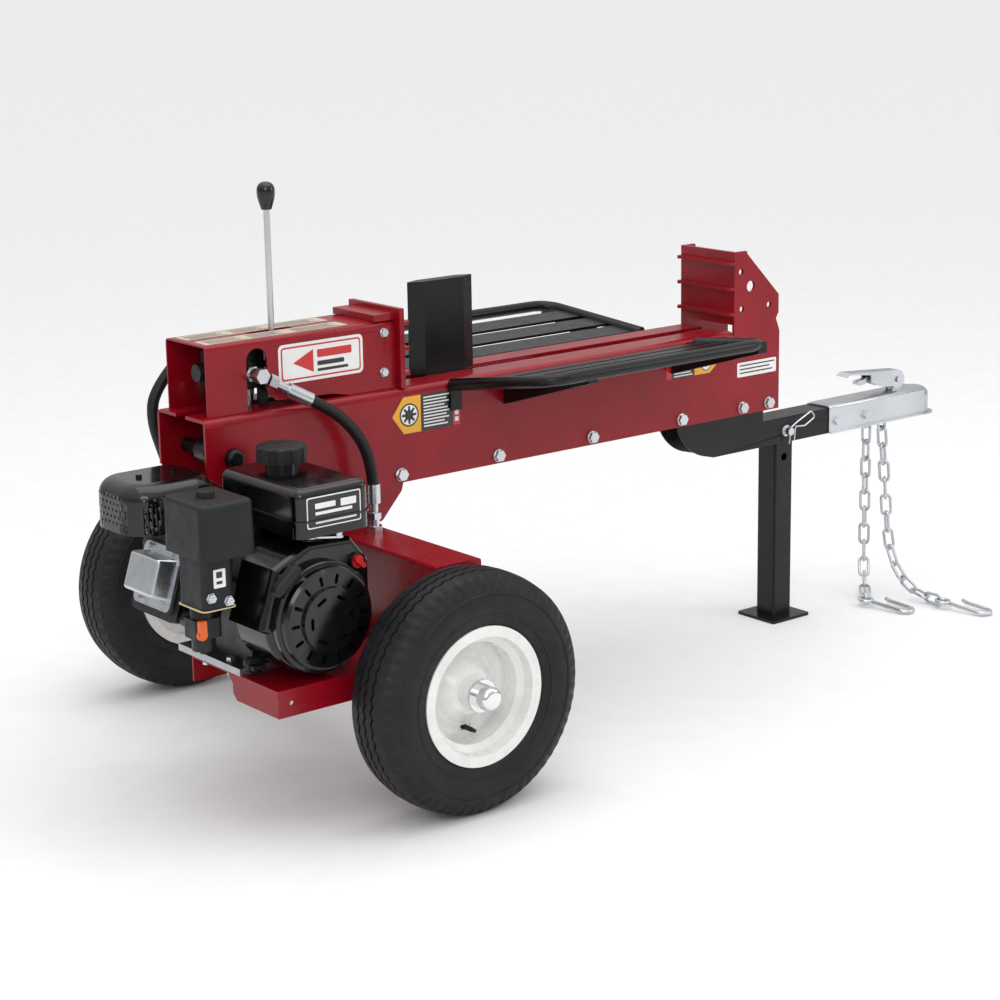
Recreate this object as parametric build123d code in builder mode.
from build123d import *
import os
from math import atan2, cos, degrees, radians, sin, tan

# Towable double-acting log splitter, in millimetres. X runs along the beam to the hitch,
# Z is up from the ground, and the near side is -Y. The origin is on the ground, at the
# middle of the whole machine's length and width. Heights are above the ground, and
# lengths along the beam are given from the wheel axle by the three planes below.

os.makedirs("parts", exist_ok=True)

AXLE_X = -595.0
TOP = Plane((AXLE_X, 0, 0), x_dir=(1, 0, 0), z_dir=(0, 0, 1))
SIDE = Plane((AXLE_X, 0, 0), x_dir=(1, 0, 0), z_dir=(0, -1, 0))
END = Plane((AXLE_X, 0, 0), x_dir=(0, 1, 0), z_dir=(1, 0, 0))

# Beam: two folded side plates with a slot between their top flanges.
BEAM_LEFT, BEAM_RIGHT = -250.0, 1095.0
BEAM_BOTTOM, BEAM_TOP = 466.0, 636.0
BEAM_HALF, BEAM_T, SLOT_HALF = 76.5, 6.0, 15.0
FOOT_X, FOOT_T, FOOT_TOP = 969.0, 8.0, 793.0
BOLT_Z, BOLT_X = 481.3, (149.0, 370.0, 597.0, 827.0, 992.0, 1065.0)

# Ram: cylinder inside the beam, carriage under the flanges, wedge above them.
CYLINDER_Z, BORE_R, BARREL_R = 566.0, 38.1, 45.0
PIN_X, BARREL_LEFT, BARREL_RIGHT, REAR_PORT_X = -198.0, -155.0, 465.0, -150.0
GLAND_T, PISTON_X, PISTON_T, ROD_R = 45.0, -146.0, 36.0, 19.0
ROD_PIN_X, ROD_PIN_R = 505.0, 10.0
WEDGE_LEFT, WEDGE_RIGHT, WEDGE_TOP, WEDGE_HALF = 230.0, 375.0, 807.0, 12.5
FRONT_X, FRONT_T, FRONT_TOP = 155.0, 10.0, 777.0

# Valve housing and control lever.
HOUSING_LEFT, HOUSING_HALF, HOUSING_TOP, HOUSING_T = -235.0, 62.5, 757.0, 3.0
LEVER_X, LEVER_PIVOT_Z, SPOOL_Z, LEVER_TOP = -62.0, 672.0, 702.0, 1011.0
VALVE_LEFT, VALVE_RIGHT, VALVE_HALF = -190.0, -97.0, 30.0

# Wheels, axle and oil tank.
TYRE_R, TYRE_HALF, TRACK_HALF = 206.5, 57.5, 446.0
SPINDLE_R, AXLE_TUBE = 12.7, 38.1
TANK_RIGHT, TANK_HALF, TANK_BOTTOM, TANK_TOP, TANK_T = 92.0, 375.0, 226.0, 400.0, 3.0

# Engine plate and engine.
PLATE_LEFT, PLATE_NEAR, PLATE_FAR, PLATE_TOP, PLATE_T = -311.0, -360.0, -100.0, 250.0, 4.0
CRANK_X, CRANK_Z, CYLINDER_TILT = -218.0, 356.0, 18.0
PTO_Y, PUMP_Y, PUMP_END = -62.0, 30.0, 130.0

# Tongue, parking leg and coupler.
TONGUE_HALF, TONGUE_T, TONGUE_TOP, TONGUE_BOTTOM = 29.7, 3.0, 430.0, 376.0
LEG_X, LEG_Z, LEG_HALF, LEG_PIN_R = 1165.0, 401.0, 25.4, 8.0
COUPLER_LEFT, COUPLER_HALF, COUPLER_T = 1290.0, 33.0, 3.0
COUPLER_BOTTOM, COUPLER_TOP, BALL_X, BALL_Z, BALL_R = 376.0, 434.0, 1585.0, 396.0, 25.4
LATCH_X, LATCH_Z = 1520.0, 458.0

# Log racks: slats and a bent tube in a plane that rises outwards.
RACK_Z, RACK_Y, RACK_RISE, RACK_TUBE_R = 628.0, 79.0, 8.5, 11.0

# Hoses and chains.
HOSE_R, CHAIN_WIRE, LINK_LONG, LINK_WIDE, LINK_PITCH = 10.0, 6.4, 51.0, 26.0, 37.0
CHAIN_X, CHAIN_PIN_Z, CHAIN_PIN_R, CHAIN_Y = 1462.0, 392.0, 5.0, 20.0


def keep(builder, name):
    """Labels a finished piece and writes it to its own STEP file."""
    builder.part.label = name
    export_step(builder.part, "parts/" + name + ".step")


def place(x, y, z):
    """A point given from the axle, in the machine's own frame."""
    return Vector(AXLE_X + x, y, z)


def across(x, z, y, toward=1):
    """A plane at (x, z) whose normal runs across the machine, to +Y or to -Y."""
    return Plane(place(x, y, z), x_dir=(1, 0, 0), z_dir=(0, toward, 0))


def rod(plane, radius, length, hole=0.0):
    """A round bar or tube standing on a plane."""
    with BuildPart() as bar:
        with BuildSketch(plane):
            Circle(radius)
            if hole:
                Circle(hole, mode=Mode.SUBTRACT)
        extrude(amount=length)
    return bar.part


def hexagon(plane, flats, height):
    """A hexagon head or nut standing on a plane, with its top edge broken."""
    with BuildPart() as head:
        with BuildSketch(plane):
            RegularPolygon(flats / 2, 6, major_radius=False)
        extrude(amount=height)
    return head.part


def bolt(plane, diameter, reach, washer=True):
    """A bolt, its head on the plane and its shank behind it, with a nut at the far end."""
    flats = 1.6 * diameter
    under = plane.offset(-reach)
    with BuildPart() as whole:
        add(rod(under, diameter / 2, reach))
        add(hexagon(plane.offset(2), flats, 0.6 * diameter))
        add(rod(plane, flats * 0.62, 2))
        if washer:
            add(rod(under.offset(-2), flats * 0.62, 2))
            add(hexagon(under.offset(-2 - 0.7 * diameter), flats, 0.7 * diameter))
    return whole.part


def route_radii(points):
    """The largest tangent arc at each corner of a hose's route."""
    radii = []
    for before, corner, after in zip(points, points[1:], points[2:]):
        into, out = Vector(*corner) - Vector(*before), Vector(*after) - Vector(*corner)
        half_turn = radians(into.get_angle(out)) / 2
        radii.append(0.45 * min(into.length, out.length) / tan(half_turn))
    return radii


def hose(name, points, radius):
    """A hose along straight runs joined by tangent arcs."""
    points = [place(*point) for point in points]
    radii = route_radii([tuple(point) for point in points])
    with BuildPart() as tube:
        with BuildLine() as path:
            FilletPolyline(*points, radius=radii)
        with BuildSketch(Plane(points[0], z_dir=points[1] - points[0])):
            Circle(radius)
        sweep()
    length = path.wire().length
    print(name, "radii", [round(r) for r in radii], "length", round(length))
    print(name, "volume over section times length", tube.part.volume / (3.14159 * radius**2 * length))
    return tube


# ---------------------------------------------------------------- beam and frame
PLATE_INSIDE = BEAM_HALF - BEAM_T
GUSSET_HOLES = ((987.0, 753.0, 6.0), (1014.0, 722.0, 11.0), (990.0, 679.0, 6.0), (1065.0, 680.0, 6.0))

with BuildPart() as beam_side_near:
    with BuildSketch(END.offset(BEAM_LEFT)):
        with BuildLine():
            Polyline(
                (-SLOT_HALF, BEAM_TOP), (-BEAM_HALF, BEAM_TOP), (-BEAM_HALF, BEAM_BOTTOM),
                (-PLATE_INSIDE, BEAM_BOTTOM), (-PLATE_INSIDE, BEAM_TOP - BEAM_T),
                (-SLOT_HALF, BEAM_TOP - BEAM_T), close=True,
            )
        section = make_face()
        fillet(section.vertices().group_by(Axis.Y)[-1].sort_by(Axis.X)[0], 14)
        fillet(section.vertices().group_by(Axis.Y)[-3].sort_by(Axis.X)[-2], 8)
    extrude(amount=FOOT_X - BEAM_LEFT)
    # The web carries on past the flange as the upright that backs the foot plate.
    with BuildSketch(SIDE.offset(PLATE_INSIDE)):
        with BuildLine():
            Polyline(
                (FOOT_X, BEAM_BOTTOM), (BEAM_RIGHT, BEAM_BOTTOM), (BEAM_RIGHT, 625), (1085, 650),
                (1092, 662), (1092, 698), (1004, 787), (1002, FOOT_TOP), (FOOT_X, FOOT_TOP), close=True,
            )
        make_face()
    extrude(amount=BEAM_T)
    # The tab that comes down to the oil tank.
    with BuildSketch(SIDE.offset(PLATE_INSIDE)):
        with BuildLine():
            Polyline(
                (-10, BEAM_BOTTOM), (154, BEAM_BOTTOM), (150, 452), (107, 405), (TANK_RIGHT, TANK_TOP),
                (0, TANK_TOP), close=True,
            )
        make_face()
    extrude(amount=BEAM_T)
    # The left end's lower corner is cut back.
    with BuildSketch(SIDE):
        with BuildLine():
            Polyline(
                (BEAM_LEFT - 1, 540), (-133, BEAM_BOTTOM - 1), (BEAM_LEFT - 1, BEAM_BOTTOM - 1), close=True,
            )
        make_face()
    extrude(amount=100, mode=Mode.SUBTRACT)
    with BuildSketch(SIDE):
        with Locations(*[(x, BOLT_Z) for x in BOLT_X]):
            Circle(6.2)
        with Locations((PIN_X, CYLINDER_Z)):
            Circle(12.8)
        for x, z, radius in GUSSET_HOLES:
            with Locations((x, z)):
                Circle(radius)
    extrude(amount=100, mode=Mode.SUBTRACT)
keep(beam_side_near, "beam_side_near")

with BuildPart() as beam_side_far:
    mirror(beam_side_near.part, about=Plane.XZ)
keep(beam_side_far, "beam_side_far")

HEAD = Plane(
    place(CRANK_X, -150, CRANK_Z),
    x_dir=(0, 1, 0),
    z_dir=(-cos(radians(CYLINDER_TILT)), 0, sin(radians(CYLINDER_TILT))),
)
VALVE_FLANGE = HEAD.offset(189.4)
HOUSING_BOLTS = ((129.0, 737.0), (127.0, 667.0))
COUPLER_BOLT_X, COUPLER_BOLT_Z = (1312.0, 1400.0), 401.0
with BuildPart() as bolts:
    for x in BOLT_X:
        add(bolt(across(x, BOLT_Z, -BEAM_HALF, -1), 12, 2 * BEAM_HALF))
    # Spacer tubes hold the side plates apart; at the hitch end they meet the tongue.
    for x in BOLT_X[:4]:
        add(rod(across(x, BOLT_Z, -PLATE_INSIDE), 13, 2 * PLATE_INSIDE, 6))
    for x in BOLT_X[4:]:
        for y in (-PLATE_INSIDE, TONGUE_HALF):
            add(rod(across(x, BOLT_Z, y), 13, PLATE_INSIDE - TONGUE_HALF, 6))
    for x in COUPLER_BOLT_X:
        add(bolt(across(x, COUPLER_BOLT_Z, -COUPLER_HALF, -1), 10, 2 * COUPLER_HALF))
    for x, z in HOUSING_BOLTS:
        for side in (-1, 1):
            add(bolt(across(x, z, side * HOUSING_HALF, side), 8, 8, washer=False))
    for dx in (-81, 81):
        for dy in (-37.75, 37.75):
            foot = Plane(place(CRANK_X + dx, -165 + dy, 262.2), z_dir=(0, 0, 1))
            add(bolt(foot, 8, 262.2 - PLATE_TOP + PLATE_T))
    for dy in (-36, 36):
        for drop in (-44, 44):
            add(hexagon(VALVE_FLANGE.shift_origin(VALVE_FLANGE.from_local_coords((dy, drop))), 9, 6))
keep(bolts, "bolts")

with BuildPart() as foot_plate:
    with BuildSketch(END.offset(FOOT_X)):
        with Locations((0, (649 + FOOT_TOP) / 2)):
            Rectangle(2 * PLATE_INSIDE, FOOT_TOP - 649)
    extrude(amount=FOOT_T)
    for z in (668, 718, 768):
        with BuildSketch(TOP.offset(z)):
            with Locations((FOOT_X - 5, 0)):
                Rectangle(10, 2 * BEAM_HALF)
            with Locations((FOOT_X - 10, 0)):
                with GridLocations(0, 12.75, 1, 12):
                    Triangle(a=12.4, B=45, C=45, rotation=90, align=(Align.CENTER, Align.MIN))
        extrude(amount=6)
keep(foot_plate, "foot_plate")

with BuildPart() as front_plate:
    with BuildSketch(END.offset(FRONT_X)):
        with Locations((0, (BEAM_TOP + FRONT_TOP) / 2)):
            Rectangle(2 * BEAM_HALF, FRONT_TOP - BEAM_TOP)
    extrude(amount=FRONT_T)
    for z in (657, 702, 747):
        with BuildSketch(TOP.offset(z)):
            with Locations((FRONT_X + FRONT_T + 5, 0)):
                Rectangle(10, 2 * BEAM_HALF)
            with Locations((FRONT_X + FRONT_T + 10, 0)):
                with GridLocations(0, 12.75, 1, 12):
                    Triangle(a=12.4, B=45, C=45, rotation=-90, align=(Align.CENTER, Align.MIN))
        extrude(amount=6)
    # Two uprights inside the housing take its bolts, and a cap block steps over it.
    with BuildSketch(TOP.offset(BEAM_TOP)):
        for side in (-1, 1):
            with Locations(((100 + FRONT_X) / 2, side * 54.5)):
                Rectangle(FRONT_X - 100, 9)
    extrude(amount=HOUSING_TOP - HOUSING_T - 1 - BEAM_TOP)
    with BuildSketch(TOP.offset(HOUSING_TOP + 0.2)):
        with Locations(((110 + FRONT_X) / 2, 0)):
            Rectangle(FRONT_X - 110, 2 * HOUSING_HALF)
    extrude(amount=12)
    for x, z in HOUSING_BOLTS:
        add(rod(across(x, z, -60), 4.1, 120), mode=Mode.SUBTRACT)
keep(front_plate, "front_plate")

with BuildPart() as valve_housing:
    with BuildSketch(END.offset(HOUSING_LEFT)):
        with BuildLine():
            Polyline(
                (-HOUSING_HALF, BEAM_TOP), (-HOUSING_HALF, HOUSING_TOP), (HOUSING_HALF, HOUSING_TOP),
                (HOUSING_HALF, BEAM_TOP), (HOUSING_HALF - HOUSING_T, BEAM_TOP),
                (HOUSING_HALF - HOUSING_T, HOUSING_TOP - HOUSING_T),
                (HOUSING_T - HOUSING_HALF, HOUSING_TOP - HOUSING_T), (HOUSING_T - HOUSING_HALF, BEAM_TOP),
                close=True,
            )
        cover = make_face()
        fillet(cover.vertices().group_by(Axis.Y)[-1], 8)
        fillet(cover.vertices().group_by(Axis.Y)[-3], 5)
    extrude(amount=FRONT_X - HOUSING_LEFT)
    # Arched hose slots in both walls, and the relieved lower edge beside them.
    with BuildSketch(SIDE.offset(-100)):
        with BuildLine():
            Polyline((-155, BEAM_TOP - 1), (-155, 721.5))
            ThreePointArc((-155, 721.5), (-134.5, 742), (-114, 721.5))
            Polyline(
                (-114, 721.5), (-114, 664), (-98, 648), (20, 643), (60, BEAM_TOP - 1), (-155, BEAM_TOP - 1),
            )
        make_face()
    extrude(amount=200, mode=Mode.SUBTRACT)
    with BuildSketch(TOP.offset(HOUSING_TOP - 10)):
        with Locations((-67.5, 0)):
            SlotOverall(93, 15)
    extrude(amount=20, mode=Mode.SUBTRACT)
    for x, z in HOUSING_BOLTS:
        add(rod(across(x, z, -70), 4.1, 140), mode=Mode.SUBTRACT)
keep(valve_housing, "valve_housing")

# ---------------------------------------------------------------- cylinder and ram
with BuildPart() as cylinder_barrel:
    barrel_end = Plane(place(BARREL_LEFT, 0, CYLINDER_Z), z_dir=(1, 0, 0))
    add(rod(barrel_end, BARREL_R, BARREL_RIGHT - BARREL_LEFT, BORE_R))
    add(rod(barrel_end.offset(-25), BARREL_R, 28))
    with BuildSketch(SIDE.offset(-16)):
        with Locations((PIN_X, CYLINDER_Z)):
            Circle(21)
        with Locations(((PIN_X + BARREL_LEFT - 20) / 2, CYLINDER_Z)):
            Rectangle(BARREL_LEFT - 20 - PIN_X, 42)
    extrude(amount=32)
    add(rod(across(PIN_X, CYLINDER_Z, -20), 12.8, 40), mode=Mode.SUBTRACT)
    # Port bosses: the rear one on top, the front one on the far side.
    add(rod(Plane(place(REAR_PORT_X, 0, CYLINDER_Z + 40), z_dir=(0, 0, 1)), 11, 16))
    add(rod(across(400, CYLINDER_Z + 14, 39), 11, 11))
    add(rod(Plane(place(REAR_PORT_X, 0, CYLINDER_Z + 30), z_dir=(0, 0, 1)), 3.5, 30), mode=Mode.SUBTRACT)
    add(rod(across(400, CYLINDER_Z + 14, 30), 3.5, 30), mode=Mode.SUBTRACT)
    # The gland, screwed into the open end, guides the rod.
    add(rod(Plane(place(BARREL_RIGHT - GLAND_T, 0, CYLINDER_Z), z_dir=(1, 0, 0)), BORE_R - 0.05, GLAND_T))
    add(rod(Plane(place(BARREL_RIGHT, 0, CYLINDER_Z), z_dir=(1, 0, 0)), BARREL_R - 2, 7))
    gland_bore = Plane(place(BARREL_RIGHT - GLAND_T - 5, 0, CYLINDER_Z), z_dir=(1, 0, 0))
    add(rod(gland_bore, ROD_R + 0.08, GLAND_T + 20), mode=Mode.SUBTRACT)
keep(cylinder_barrel, "cylinder_barrel")

with BuildPart() as cylinder_pin:
    add(rod(across(PIN_X, CYLINDER_Z, -BEAM_HALF - 3), 12.7, 2 * BEAM_HALF + 6))
    for side in (-1, 1):
        with BuildPart() as head:
            add(rod(across(PIN_X, CYLINDER_Z, side * BEAM_HALF, side), 17, 16))
            fillet(head.edges().filter_by(GeomType.CIRCLE).sort_by(Axis.Y)[-1 if side > 0 else 0], 8)
        add(head.part)
keep(cylinder_pin, "cylinder_pin")

with BuildPart() as piston_rod:
    add(rod(Plane(place(PISTON_X, 0, CYLINDER_Z), z_dir=(1, 0, 0)), BORE_R - 0.1, PISTON_T))
    add(rod(Plane(place(PISTON_X, 0, CYLINDER_Z), z_dir=(1, 0, 0)), ROD_R, ROD_PIN_X - 20.6 - PISTON_X))
    add(rod(across(ROD_PIN_X, CYLINDER_Z, -12), 25, 24))
    add(rod(across(ROD_PIN_X, CYLINDER_Z, -14), ROD_PIN_R + 0.05, 28), mode=Mode.SUBTRACT)
keep(piston_rod, "piston_rod")

CARRIAGE_TOP, CARRIAGE_T = BEAM_TOP - BEAM_T - 1, 12.0
with BuildPart() as carriage:
    with BuildSketch(TOP.offset(CARRIAGE_TOP - CARRIAGE_T)):
        with Locations(((WEDGE_LEFT + 5 + ROD_PIN_X + 30) / 2, 0)):
            RectangleRounded(ROD_PIN_X + 30 - WEDGE_LEFT - 5, 120, 12)
    extrude(amount=CARRIAGE_T)
    for side in (-1, 1):
        with BuildSketch(SIDE.offset(side * 18 - 5)):
            with Locations((ROD_PIN_X, CYLINDER_Z)):
                Circle(20)
            with Locations((ROD_PIN_X, (CYLINDER_Z + CARRIAGE_TOP - 6) / 2)):
                Rectangle(40, CARRIAGE_TOP - 6 - CYLINDER_Z)
        extrude(amount=10)
    # The clevis pin through the rod's eye is driven into the two lugs.
    add(rod(across(ROD_PIN_X, CYLINDER_Z, -28), ROD_PIN_R, 56))
keep(carriage, "carriage")

BEVEL = 28.0
with BuildPart() as wedge:
    with BuildSketch(TOP.offset(BEAM_TOP + 1)):
        with BuildLine():
            Polyline(
                (WEDGE_LEFT, -0.8), (WEDGE_LEFT + BEVEL, -WEDGE_HALF), (WEDGE_RIGHT - BEVEL, -WEDGE_HALF),
                (WEDGE_RIGHT, -0.8), (WEDGE_RIGHT, 0.8), (WEDGE_RIGHT - BEVEL, WEDGE_HALF),
                (WEDGE_LEFT + BEVEL, WEDGE_HALF), (WEDGE_LEFT, 0.8), close=True,
            )
        make_face()
    extrude(amount=WEDGE_TOP - BEAM_TOP - 1)
    with BuildSketch(TOP.offset(CARRIAGE_TOP)):
        with Locations(((WEDGE_LEFT + WEDGE_RIGHT) / 2, 0)):
            Rectangle(WEDGE_RIGHT - WEDGE_LEFT - 2 * BEVEL - 4, 2 * WEDGE_HALF)
    extrude(amount=BEAM_TOP + 4 - CARRIAGE_TOP)
keep(wedge, "wedge")

# ---------------------------------------------------------------- valve and lever
VALVE_PORT_X = -138.0
with BuildPart() as valve_body:
    with BuildSketch(TOP.offset(670)):
        with Locations(((VALVE_LEFT + VALVE_RIGHT) / 2, 0)):
            Rectangle(VALVE_RIGHT - VALVE_LEFT, 2 * VALVE_HALF)
    extrude(amount=65)
    fillet(valve_body.edges().filter_by(Axis.Z), 5)
    for side in (-1, 1):
        add(rod(across(VALVE_PORT_X, SPOOL_Z, side * (VALVE_HALF - 1), side), 15, 9))
    # Two work-port bosses underneath, and the spring cap at the left end.
    for x in (REAR_PORT_X, -112):
        add(rod(Plane(place(x, 0, 662), z_dir=(0, 0, 1)), 10, 9))
    add(rod(Plane(place(VALVE_LEFT - 26, 0, SPOOL_Z), z_dir=(1, 0, 0)), 15, 27))
    add(rod(Plane(place(VALVE_LEFT - 18, 0, SPOOL_Z), z_dir=(1, 0, 0)), 8.05, 200), mode=Mode.SUBTRACT)
    # The bracket that carries the lever's pivot.
    with BuildSketch(TOP.offset(664)):
        with Locations(((VALVE_RIGHT + LEVER_X + 10) / 2, 0)):
            Rectangle(LEVER_X + 10 - VALVE_RIGHT + 8, 11)
    extrude(amount=14)
    add(rod(across(LEVER_X, LEVER_PIVOT_Z, -8), 4.05, 16), mode=Mode.SUBTRACT)
    # Feet down to the beam's flanges.
    with BuildSketch(TOP.offset(BEAM_TOP)):
        for y in (-24, 24):
            with Locations((-172, y), (-100, y)):
                Rectangle(16, 12)
    extrude(amount=36)
keep(valve_body, "valve_body")

with BuildPart() as valve_spool:
    add(rod(Plane(place(VALVE_LEFT - 4, 0, SPOOL_Z), z_dir=(1, 0, 0)), 8, VALVE_RIGHT - VALVE_LEFT + 14))
    with BuildSketch(SIDE.offset(-5)):
        with Locations(((VALVE_RIGHT + 8 + LEVER_X + 7) / 2, SPOOL_Z)):
            Rectangle(LEVER_X + 7 - VALVE_RIGHT - 8, 12)
    extrude(amount=10)
    add(rod(across(LEVER_X, SPOOL_Z, -13), 3, 26))
keep(valve_spool, "valve_spool")

with BuildPart() as lever_arm:
    with BuildSketch(SIDE.offset(-12)):
        with Locations((LEVER_X, (LEVER_PIVOT_Z - 10 + 735) / 2)):
            Rectangle(20, 735 - LEVER_PIVOT_Z + 10)
    extrude(amount=24)
    fillet(lever_arm.edges().filter_by(Axis.Y), 6)
    with BuildSketch(SIDE.offset(-7)):
        with Locations((LEVER_X, 680)):
            Rectangle(30, 72)
    extrude(amount=14, mode=Mode.SUBTRACT)
    # The slots in both cheeks let the spool's cross pin slide as the lever swings.
    with BuildSketch(SIDE.offset(-20)):
        with Locations((LEVER_X, SPOOL_Z)):
            SlotOverall(16, 8, rotation=90)
    extrude(amount=40, mode=Mode.SUBTRACT)
    add(rod(across(LEVER_X, LEVER_PIVOT_Z, -15), 4, 30))
    add(rod(Plane(place(LEVER_X, 0, 733), z_dir=(0, 0, 1)), 5.5, 240))
keep(lever_arm, "lever_arm")

with BuildPart() as lever_knob:
    with BuildSketch(SIDE):
        with BuildLine():
            Spline(
                (LEVER_X + 9, LEVER_TOP - 47), (LEVER_X + 15.5, LEVER_TOP - 22), (LEVER_X, LEVER_TOP),
                tangents=((0.3, 1), (-1, 0)),
            )
            Polyline((LEVER_X, LEVER_TOP), (LEVER_X, LEVER_TOP - 47), (LEVER_X + 9, LEVER_TOP - 47))
        make_face()
    revolve(axis=Axis(place(LEVER_X, 0, 0), (0, 0, 1)))
    add(rod(Plane(place(LEVER_X, 0, LEVER_TOP - 48), z_dir=(0, 0, 1)), 5.5, 10), mode=Mode.SUBTRACT)
keep(lever_knob, "lever_knob")

# ---------------------------------------------------------------- tank, axle and wheels
with BuildPart() as oil_tank:
    with BuildSketch(TOP.offset(TANK_BOTTOM)):
        with Locations((TANK_RIGHT / 2, 0)):
            Rectangle(TANK_RIGHT, 2 * TANK_HALF)
    extrude(amount=TANK_TOP - TANK_BOTTOM)
    fillet(oil_tank.edges().filter_by(Axis.Y), 5)
    offset(amount=-TANK_T, mode=Mode.SUBTRACT)
    # Return port on top, suction port low on the engine side, filler on the far top.
    for x, y, radius in ((58, -118, 8), (50, 230, 20)):
        with BuildSketch(TOP.offset(TANK_TOP - 10)):
            with Locations((x, y)):
                Circle(radius)
        extrude(amount=20, mode=Mode.SUBTRACT)
    add(rod(Plane(place(-5, 80, 300), z_dir=(1, 0, 0)), 10, 20), mode=Mode.SUBTRACT)
keep(oil_tank, "oil_tank")

with BuildPart() as tank_cap:
    add(rod(Plane(place(50, 230, TANK_TOP - 14), z_dir=(0, 0, 1)), 19.8, 16))
    with BuildSketch(TOP.offset(TANK_TOP)):
        with Locations((50, 230)):
            Circle(29)
    extrude(amount=18)
    with BuildSketch(TOP.offset(TANK_TOP + 3)):
        with Locations((50, 230)):
            with PolarLocations(31.5, 12):
                Circle(4)
    extrude(amount=20, mode=Mode.SUBTRACT)
keep(tank_cap, "tank_cap")

with BuildPart() as axle:
    with BuildSketch(Plane.XZ.offset(TANK_HALF)):
        with Locations((AXLE_X, TYRE_R)):
            RectangleRounded(AXLE_TUBE, AXLE_TUBE - 0.2, 4)
            Rectangle(AXLE_TUBE - 9, AXLE_TUBE - 9, mode=Mode.SUBTRACT)
    extrude(amount=-2 * TANK_HALF)
    for side in (-1, 1):
        inner = across(0, TYRE_R, side * (TANK_HALF - 60), side)
        add(rod(inner, 14.5, 60))
        add(rod(inner, 20, 8).moved(Location((0, side * 60, 0))))
        add(rod(inner, SPINDLE_R, 505 - TANK_HALF + 60))
        add(rod(across(0, TYRE_R, side * (TRACK_HALF - 44), side), 19, 11))
        add(hexagon(across(0, TYRE_R, side * (TRACK_HALF + 45), side), 28, 10))
keep(axle, "axle")

TYRE_SECTION = ((46.6, 119), (52, 129), (57.3, 152), (55.5, 178), (46, 196), (30, 203.6), (0, TYRE_R))


def tyre(side):
    """A tyre of one wheel: an open torus whose beads sit on the rim."""
    wheel = Plane(place(0, side * TRACK_HALF, TYRE_R), x_dir=(0, 1, 0), z_dir=(1, 0, 0))
    with BuildPart() as ring:
        with BuildSketch(wheel):
            with BuildLine():
                right = list(TYRE_SECTION)
                left = [(-s, r) for s, r in reversed(TYRE_SECTION)]
                Spline(*(right + left[1:]))
                Polyline((-46.6, 119), (-46.6, 104.2), (-34, 102.6), (-36, 114))
                Spline((-36, 114), (-48, 150), (-40, 186), (0, 195), (40, 186), (48, 150), (36, 114))
                Polyline((36, 114), (34, 102.6), (46.6, 104.2), (46.6, 119))
            make_face()
        revolve(axis=Axis(place(0, 0, TYRE_R), (0, 1, 0)))
    return ring


def rim(side):
    """A pressed steel wheel: lips, drop centre, dished disc and hub tube."""
    wheel = Plane(place(0, side * TRACK_HALF, TYRE_R), x_dir=(0, side, 0), z_dir=(side, 0, 0))
    with BuildPart() as dish:
        with BuildSketch(wheel):
            with BuildLine():
                Polyline(
                    (-50, 119), (-47, 119), (-46.9, 104), (-30, 101.8), (-22, 90), (22, 90), (30, 101.8),
                    (46.9, 104), (47, 119), (50, 119), (50, 116), (49.5, 101), (31, 98.6), (24, 87),
                    (-24, 87), (-31, 98.6), (-49.5, 101), (-50, 116), close=True,
                )
            make_face()
            with BuildLine():
                Polyline(
                    (-9, 88.5), (-8, 70), (-3, 56), (12, 38), (14, 24), (-32, 24), (-32, 27.5), (9, 27.5),
                    (8, 36), (-7, 53), (-12, 69), (-13, 88.5), close=True,
                )
            make_face()
            with BuildLine():
                Polyline((-32, 22.5), (38, 22.5), (38, 27.5), (-32, 27.5), close=True)
            make_face()
        revolve(axis=Axis(place(0, 0, TYRE_R), (0, 1, 0)))
        # The oval hole for the valve stem.
        with BuildSketch(across(0, TYRE_R, side * (TRACK_HALF - 20), side)):
            with Locations((0, 66 * side)):
                SlotOverall(24, 10)
        extrude(amount=40, mode=Mode.SUBTRACT)
    return dish


def hub(side):
    """Two bearings on the spindle, the zinc bearing ring and the dust cap over the nut."""
    with BuildPart() as parts:
        for start in (-32, 26):
            add(rod(across(0, TYRE_R, side * (TRACK_HALF + start), side), 22.4, 12, SPINDLE_R + 0.05))
        add(rod(across(0, TYRE_R, side * (TRACK_HALF + 38), side), 27.5, 6, 17))
        with BuildPart() as cap:
            add(rod(across(0, TYRE_R, side * (TRACK_HALF + 44), side), 20.5, 30))
            fillet(cap.faces().sort_by(Axis.Y)[-1 if side > 0 else 0].edges(), 10)
            add(rod(across(0, TYRE_R, side * (TRACK_HALF + 43), side), 18.3, 25), mode=Mode.SUBTRACT)
        add(cap.part)
    return parts


for label, side in (("near", -1), ("far", 1)):
    keep(tyre(side), "tyre_" + label)
    keep(rim(side), "rim_" + label)
    keep(hub(side), "hub_" + label)

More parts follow.
